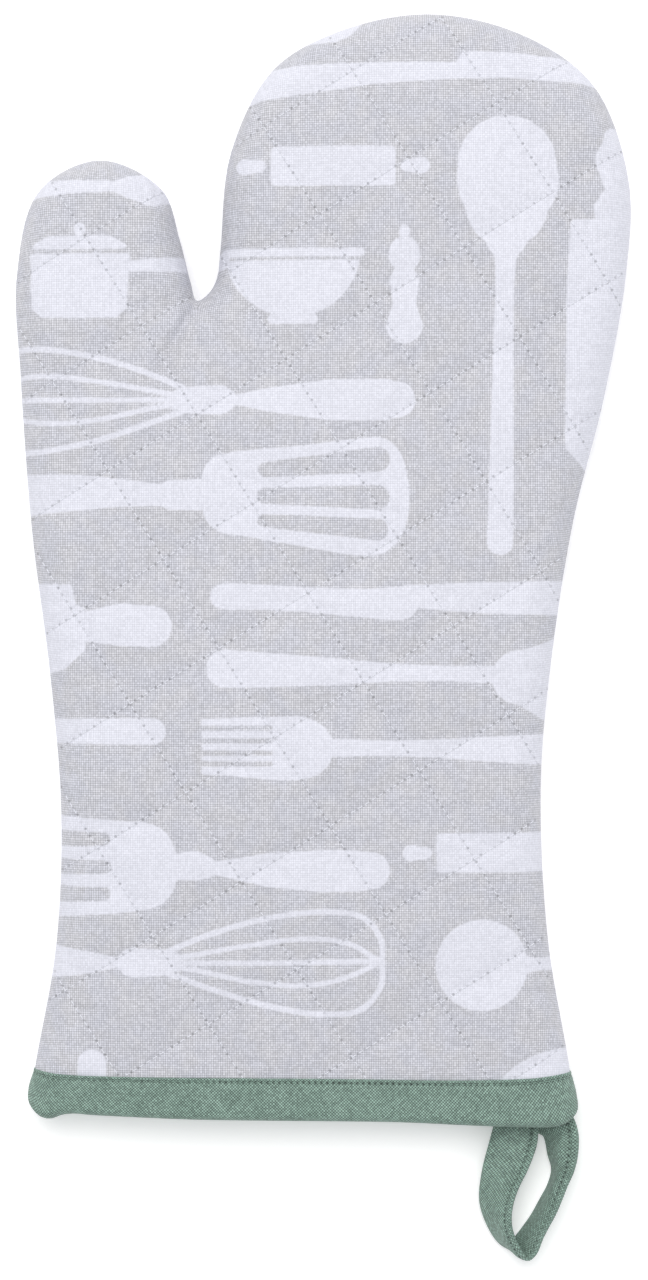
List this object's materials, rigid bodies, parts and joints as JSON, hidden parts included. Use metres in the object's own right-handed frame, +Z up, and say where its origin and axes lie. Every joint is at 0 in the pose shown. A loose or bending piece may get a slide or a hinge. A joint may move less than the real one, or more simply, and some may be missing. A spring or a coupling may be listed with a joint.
{
  "type": "oven mitt",
  "caption": "Quilted cotton oven mitt with a thumb, pale kitchen utensil print, green bound cuff and hanging loop.",
  "frame": {"origin": "middle of the bounding box on the surface that the mitt's back rests on", "axes": "+Y from the cuff to the fingertips, +X away from the thumb, +Z up through the padding, out of the front face"},
  "size_m": [0.1834, 0.3752, 0.032],
  "materials": {
    "printed_cotton": "plain slub weave, grey ground with white utensil shapes",
    "wadding": "soft felted cotton wadding",
    "lining_cotton": "plain weave, undyed",
    "quilting_thread": "matt cotton thread",
    "seam_thread": "matt cotton thread",
    "binding_tape": "bias-cut plain weave, grey green",
    "loop_tape": "plain weave tape, grey green",
    "green_thread": "matt cotton thread, darker green"
  },
  "bodies": {
    "hand": {"front_skin_hand": "printed_cotton", "front_wadding_hand": "wadding", "front_lining_hand": "lining_cotton", "front_quilting_hand": "quilting_thread", "rear_skin_hand": "printed_cotton", "rear_wadding_hand": "wadding", "rear_lining_hand": "lining_cotton", "rear_quilting_hand": "quilting_thread", "seam_thread_thumb_side": "seam_thread", "seam_thread_crotch": "seam_thread", "seam_thread_outer_side": "seam_thread", "cuff_binding": "binding_tape", "binding_topstitch": "green_thread", "loop_tail": "loop_tape", "loop_bar_tack": "green_thread"},
    "fingers": {"front_skin_fingers": "printed_cotton", "front_wadding_fingers": "wadding", "front_lining_fingers": "lining_cotton", "front_quilting_fingers": "quilting_thread", "rear_skin_fingers": "printed_cotton", "rear_wadding_fingers": "wadding", "rear_lining_fingers": "lining_cotton", "rear_quilting_fingers": "quilting_thread", "seam_thread_fingers": "seam_thread"},
    "thumb": {"front_skin_thumb": "printed_cotton", "front_wadding_thumb": "wadding", "front_lining_thumb": "lining_cotton", "front_quilting_thumb": "quilting_thread", "rear_skin_thumb": "printed_cotton", "rear_wadding_thumb": "wadding", "rear_lining_thumb": "lining_cotton", "rear_quilting_thumb": "quilting_thread", "seam_thread_thumb": "seam_thread"},
    "loop": {"hanging_loop": "loop_tape", "loop_stitching": "green_thread"}
  },
  "joints": [
    {"name": "knuckle_fold", "type": "hinge", "parent": "hand", "child": "fingers", "pos_m": [-0.03061, 0.12442, 0.016], "axis": [0.9703, -0.2419, 0], "range_deg": [-60, 60], "stiffness_Nm_per_rad": 0.05},
    {"name": "thumb_fold", "type": "hinge", "parent": "hand", "child": "thumb", "pos_m": [-0.0513, 0.11245, 0.016], "axis": [0.521, 0.8536, 0], "range_deg": [-45, 45], "stiffness_Nm_per_rad": 0.02},
    {"name": "loop_swing", "type": "hinge", "parent": "hand", "child": "loop", "pos_m": [0.06387, -0.14333, 0.0077], "axis": [-1, 0, 0], "range_deg": [-60, 60]}
  ]
}
